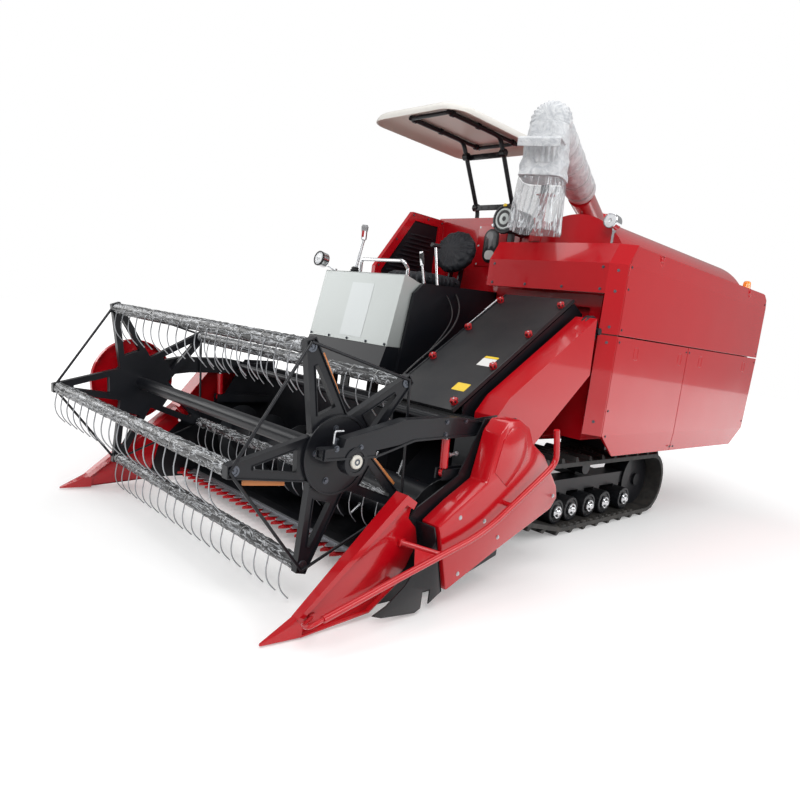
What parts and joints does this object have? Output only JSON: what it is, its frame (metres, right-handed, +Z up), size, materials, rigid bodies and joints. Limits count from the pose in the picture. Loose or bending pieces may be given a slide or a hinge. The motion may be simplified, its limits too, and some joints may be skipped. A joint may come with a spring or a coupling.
{
  "type": "combine harvester",
  "caption": "Tracked grain combine harvester with a tined reel and auger header, sloping feeder, side grain tank, open operator place under a canopy and a swinging unloading auger.",
  "frame": {"origin": "on the ground under the middle of the machine", "axes": "-Y towards the front of the machine, +X its left side, +Z up"},
  "size_m": [2.604, 5.3883, 2.848],
  "materials": {
    "red_paint": "gloss",
    "black_paint": "satin",
    "silver_paint": "gloss",
    "steel": "worn",
    "rubber": "matt",
    "cover": "matt",
    "canopy": "satin",
    "chrome": "polished",
    "orange_lens": "clear",
    "foam": "soft",
    "film": "clear film",
    "black_plastic": "satin"
  },
  "bodies": {
    "chassis": {"main_frame": "black_paint", "undercarriage_left": "black_paint", "undercarriage_right": "black_paint", "track_left": "rubber", "track_right": "rubber", "threshing_housing": "red_paint", "threshing_hood": "red_paint", "deck_beam": "red_paint", "corner_panel": "red_paint", "rear_cover": "red_paint", "grain_tank": "red_paint", "radiator_screen": "black_paint", "operator_platform": "black_paint", "console": "silver_paint", "engine_bonnet": "black_paint", "seat_cushion": "cover", "seat_back": "cover", "side_guard": "red_paint", "side_guard_sheet": "black_paint", "handrail": "chrome", "levers": "black_plastic", "work_lamps": "chrome", "canopy": "canopy", "canopy_frame": "black_paint", "air_cleaner": "black_plastic", "beacon": "orange_lens"},
    "header": {"header_platform": "black_paint", "dividers": "red_paint", "side_fairing_left": "red_paint", "side_cover_right": "red_paint", "guard_rail_left": "red_paint", "knife_guards": "red_paint", "feeder_house": "black_paint", "feeder_lid": "black_paint", "feeder_drive_cover": "red_paint"},
    "knife": {"knife": "steel"},
    "auger": {"header_auger": "black_paint"},
    "reel_arms": {"reel_arms": "red_paint", "reel_drive_guard": "red_paint"},
    "reel": {"reel_frame": "black_paint"},
    "reel_barrel_left": {"reel_cylinder_left": "red_paint"},
    "reel_barrel_right": {"reel_cylinder_right": "red_paint"},
    "reel_rod_left": {"reel_cylinder_rod_left": "chrome"},
    "reel_rod_right": {"reel_cylinder_rod_right": "chrome"},
    "header_barrel": {"header_cylinder": "red_paint"},
    "header_rod": {"header_cylinder_rod": "chrome"},
    "upper_door": {"upper_door": "red_paint"},
    "lower_front_door": {"lower_front_door": "red_paint"},
    "lower_rear_door": {"lower_rear_door": "red_paint"},
    "turret": {"unloading_turret": "red_paint"},
    "unloader": {"unloading_tube": "red_paint", "spout_wrap": "foam", "spout_film": "film"},
    "unloader_barrel": {"unloader_cylinder": "red_paint"},
    "unloader_rod": {"unloader_cylinder_rod": "chrome"},
    "tine_bar_1": {"tine_bar_1": "steel"},
    "tine_bar_2": {"tine_bar_2": "steel"},
    "tine_bar_3": {"tine_bar_3": "steel"},
    "tine_bar_4": {"tine_bar_4": "steel"},
    "tine_bar_5": {"tine_bar_5": "steel"}
  },
  "joints": [
    {"name": "header_lift", "type": "hinge", "parent": "chassis", "child": "header", "pos_m": [0, -0.148, 1.4], "axis": [-1, 0, 0], "range_deg": [0, 18]},
    {"name": "knife_slide", "type": "slide", "parent": "header", "child": "knife", "axis": [1, 0, 0], "range_m": [-0.038, 0.038]},
    {"name": "auger_spin", "type": "hinge", "parent": "header", "child": "auger", "pos_m": [0, -1.408, 0.34], "axis": [-1, 0, 0], "continuous": true},
    {"name": "reel_lift", "type": "hinge", "parent": "header", "child": "reel_arms", "pos_m": [0, -1.298, 0.827], "axis": [-1, 0, 0], "range_deg": [0, 20]},
    {"name": "reel_spin", "type": "hinge", "parent": "reel_arms", "child": "reel", "pos_m": [0, -2.158, 0.7], "axis": [-1, 0, 0], "continuous": true},
    {"name": "header_barrel_swing", "type": "hinge", "parent": "chassis", "child": "header_barrel", "pos_m": [0.51, 0.387, 0.62], "axis": [-1, 0, 0], "range_deg": [-1, 10]},
    {"name": "header_rod_slide", "type": "slide", "parent": "header_barrel", "child": "header_rod", "axis": [0, -1, 0.01], "range_m": [-0.005, 0.245]},
    {"name": "upper_door_hinge", "type": "hinge", "parent": "chassis", "child": "upper_door", "pos_m": [1.05, 1.332, 1.97], "axis": [0, -1, 0], "range_deg": [0, 90]},
    {"name": "lower_front_door_hinge", "type": "hinge", "parent": "chassis", "child": "lower_front_door", "pos_m": [1.05, 0.632, 0.585], "axis": [0, 1, 0], "range_deg": [0, 90]},
    {"name": "lower_rear_door_hinge", "type": "hinge", "parent": "chassis", "child": "lower_rear_door", "pos_m": [1.05, 1.932, 0.585], "axis": [0, 1, 0], "range_deg": [0, 90]},
    {"name": "unloader_swing", "type": "hinge", "parent": "chassis", "child": "turret", "pos_m": [-0.45, 2.082, 2.33], "axis": [0, 0, 1], "range_deg": [0, 150]},
    {"name": "unloader_lift", "type": "hinge", "parent": "turret", "child": "unloader", "pos_m": [-0.45, 2.082, 2.48], "axis": [-0.9298, -0.368, 0], "range_deg": [0, 25]},
    {"name": "unloader_barrel_swing", "type": "hinge", "parent": "turret", "child": "unloader_barrel", "pos_m": [-0.38744, 1.92393, 2.318], "axis": [-0.9298, -0.368, 0], "range_deg": [-1, 32]},
    {"name": "unloader_rod_slide", "type": "slide", "parent": "unloader_barrel", "child": "unloader_rod", "axis": [0.3661, -0.9251, 0.101], "range_m": [-0.005, 0.1]},
    {"name": "tine_bar_1_turn", "type": "hinge", "parent": "reel", "child": "tine_bar_1", "pos_m": [0, -2.65134, 0.65944], "axis": [-1, 0, 0], "continuous": true},
    {"name": "tine_bar_2_turn", "type": "hinge", "parent": "reel", "child": "tine_bar_2", "pos_m": [0, -2.34902, 1.15666], "axis": [-1, 0, 0], "continuous": true},
    {"name": "tine_bar_3_turn", "type": "hinge", "parent": "reel", "child": "tine_bar_3", "pos_m": [0, -1.78272, 1.02279], "axis": [-1, 0, 0], "continuous": true},
    {"name": "tine_bar_4_turn", "type": "hinge", "parent": "reel", "child": "tine_bar_4", "pos_m": [0, -1.73504, 0.44284], "axis": [-1, 0, 0], "continuous": true},
    {"name": "tine_bar_5_turn", "type": "hinge", "parent": "reel", "child": "tine_bar_5", "pos_m": [0, -2.27187, 0.21828], "axis": [-1, 0, 0], "continuous": true},
    {"name": "reel_barrel_left_swing", "type": "hinge", "parent": "header", "child": "reel_barrel_left", "pos_m": [1.072, -1.558, 0.605], "axis": [-1, 0, 0], "range_deg": [-1, 7]},
    {"name": "reel_rod_left_slide", "type": "slide", "parent": "reel_barrel_left", "child": "reel_rod_left", "axis": [0, -0.083, 0.9965], "range_m": [-0.005, 0.1]},
    {"name": "reel_barrel_right_swing", "type": "hinge", "parent": "header", "child": "reel_barrel_right", "pos_m": [-1.08, -1.558, 0.605], "axis": [-1, 0, 0], "range_deg": [-1, 7]},
    {"name": "reel_rod_right_slide", "type": "slide", "parent": "reel_barrel_right", "child": "reel_rod_right", "axis": [0, -0.083, 0.9965], "range_m": [-0.005, 0.1]}
  ],
  "couplings": [
    {"joint": "header_barrel_swing", "follows": "header_lift", "ratio": 0.4676},
    {"joint": "header_rod_slide", "follows": "header_lift", "m_per_rad": 0.7396},
    {"joint": "unloader_barrel_swing", "follows": "unloader_lift", "ratio": 1.15},
    {"joint": "unloader_rod_slide", "follows": "unloader_lift", "m_per_rad": 0.2027},
    {"joint": "tine_bar_1_turn", "follows": "reel_spin", "ratio": -1},
    {"joint": "tine_bar_2_turn", "follows": "reel_spin", "ratio": -1},
    {"joint": "tine_bar_3_turn", "follows": "reel_spin", "ratio": -1},
    {"joint": "tine_bar_4_turn", "follows": "reel_spin", "ratio": -1},
    {"joint": "tine_bar_5_turn", "follows": "reel_spin", "ratio": -1},
    {"joint": "reel_barrel_left_swing", "follows": "reel_lift", "ratio": 0.2523},
    {"joint": "reel_rod_left_slide", "follows": "reel_lift", "m_per_rad": 0.2707},
    {"joint": "reel_barrel_right_swing", "follows": "reel_lift", "ratio": 0.2523},
    {"joint": "reel_rod_right_slide", "follows": "reel_lift", "m_per_rad": 0.2707}
  ]
}
